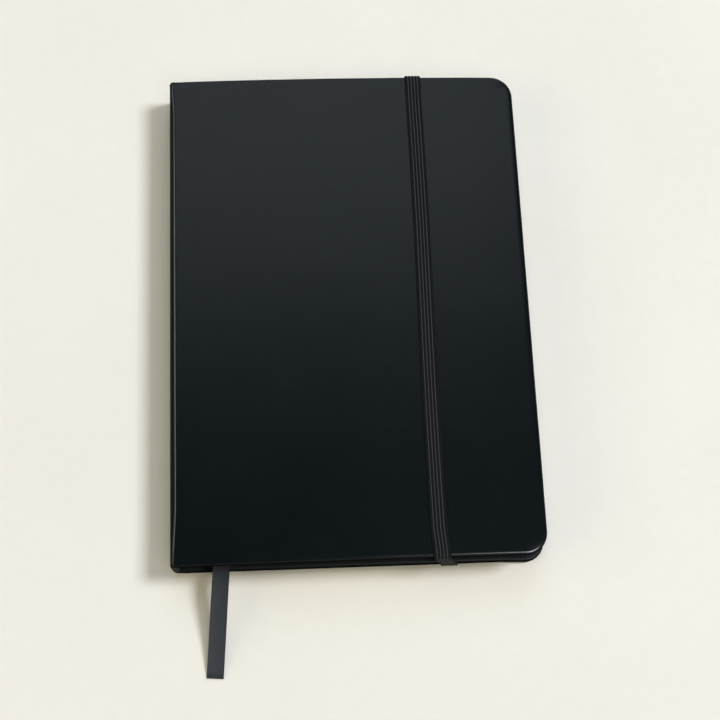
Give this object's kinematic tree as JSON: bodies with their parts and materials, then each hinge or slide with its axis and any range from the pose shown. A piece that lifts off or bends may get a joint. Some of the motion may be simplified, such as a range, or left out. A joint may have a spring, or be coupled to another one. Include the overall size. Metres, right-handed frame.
{
  "type": "pocket notebook",
  "caption": "Closed hardcover pocket notebook with a square back, sewn pages, an elastic closing strap and a ribbon marker out of the tail.",
  "frame": {"origin": "middle of the closed notebook's underside, on the back cover's outer face", "axes": "+X from the spine to the fore edge, +Y from the tail to the head, +Z from the back cover to the front cover"},
  "size_m": [0.105, 0.1788, 0.0146],
  "materials": {
    "leatherette": "satin matt, fine grain",
    "greyboard": "matt millboard",
    "endpaper": "matt heavy paper",
    "page_paper": "matt cream paper",
    "mull": "open cotton weave",
    "thread": "waxed linen",
    "ribbon": "satin weave",
    "elastic": "ribbed knit"
  },
  "bodies": {
    "back_cover": {"back_board": "greyboard", "back_leatherette": "leatherette", "back_pastedown": "endpaper", "elastic_head_anchor": "elastic", "elastic_tail_anchor": "elastic"},
    "book_block": {"section_1": "page_paper", "section_2": "page_paper", "section_3": "page_paper", "section_4": "page_paper", "section_5": "page_paper", "section_6": "page_paper", "section_7": "page_paper", "section_8": "page_paper", "sewing_threads": "thread", "spine_lining": "mull", "spine_strip": "greyboard", "spine_leatherette": "leatherette", "ribbon_anchor": "ribbon", "ribbon_inner": "ribbon", "ribbon_tail": "ribbon"},
    "front_cover": {"front_board": "greyboard", "front_leatherette": "leatherette", "front_pastedown": "endpaper"},
    "elastic_strap": {"elastic_front_span": "elastic", "elastic_head_wrap": "elastic", "elastic_tail_wrap": "elastic"},
    "back_flyleaf": {"back_flyleaf": "endpaper"},
    "front_flyleaf": {"front_flyleaf": "endpaper"},
    "leaf_1": {"leaf_1": "page_paper"},
    "leaf_2": {"leaf_2": "page_paper"},
    "leaf_3": {"leaf_3": "page_paper"},
    "leaf_4": {"leaf_4": "page_paper"}
  },
  "joints": [
    {"name": "back_cover_hinge", "type": "hinge", "parent": "back_cover", "child": "book_block", "pos_m": [-0.05125, 0, 0.00125], "axis": [0, 1, 0], "range_deg": [-90, 0]},
    {"name": "front_cover_hinge", "type": "hinge", "parent": "book_block", "child": "front_cover", "pos_m": [-0.05125, 0, 0.01275], "axis": [0, -1, 0], "range_deg": [0, 180]},
    {"name": "front_flyleaf_turn", "type": "hinge", "parent": "book_block", "child": "front_flyleaf", "pos_m": [-0.05125, 0, 0.01275], "axis": [0, -1, 0], "range_deg": [0, 177.8]},
    {"name": "leaf_1_turn", "type": "hinge", "parent": "book_block", "child": "leaf_1", "pos_m": [-0.05125, 0, 0.01275], "axis": [0, -1, 0], "range_deg": [0, 172.4]},
    {"name": "leaf_2_turn", "type": "hinge", "parent": "book_block", "child": "leaf_2", "pos_m": [-0.05125, 0, 0.01275], "axis": [0, -1, 0], "range_deg": [0, 162.5]},
    {"name": "leaf_3_turn", "type": "hinge", "parent": "book_block", "child": "leaf_3", "pos_m": [-0.05125, 0, 0.01275], "axis": [0, -1, 0], "range_deg": [0, 27.5]},
    {"name": "leaf_4_turn", "type": "hinge", "parent": "book_block", "child": "leaf_4", "pos_m": [-0.05125, 0, 0.01275], "axis": [0, -1, 0], "range_deg": [0, 11.3]},
    {"name": "back_flyleaf_turn", "type": "hinge", "parent": "back_cover", "child": "back_flyleaf", "pos_m": [-0.05125, 0, 0.00125], "axis": [0, 1, 0], "range_deg": [-85, 0]},
    {"name": "elastic_swing", "type": "hinge", "parent": "back_cover", "child": "elastic_strap", "pos_m": [0.02165, 0, 0.0006], "axis": [0, 1, 0], "range_deg": [0, 180], "deforming": ["elastic_front_span", "elastic_head_wrap", "elastic_tail_wrap"]}
  ],
  "couplings": [
    {"joint": "front_flyleaf_turn", "follows": "front_cover_hinge", "ratio": 0.985},
    {"joint": "leaf_1_turn", "follows": "front_cover_hinge", "ratio": 0.955},
    {"joint": "leaf_2_turn", "follows": "front_cover_hinge", "ratio": 0.9},
    {"joint": "leaf_3_turn", "follows": "front_cover_hinge", "ratio": 0.15},
    {"joint": "leaf_4_turn", "follows": "front_cover_hinge", "ratio": 0.06},
    {"joint": "back_flyleaf_turn", "follows": "back_cover_hinge", "ratio": 0.93},
    {"joint": "elastic_swing", "follows": "front_cover_hinge", "ratio": 1}
  ]
}
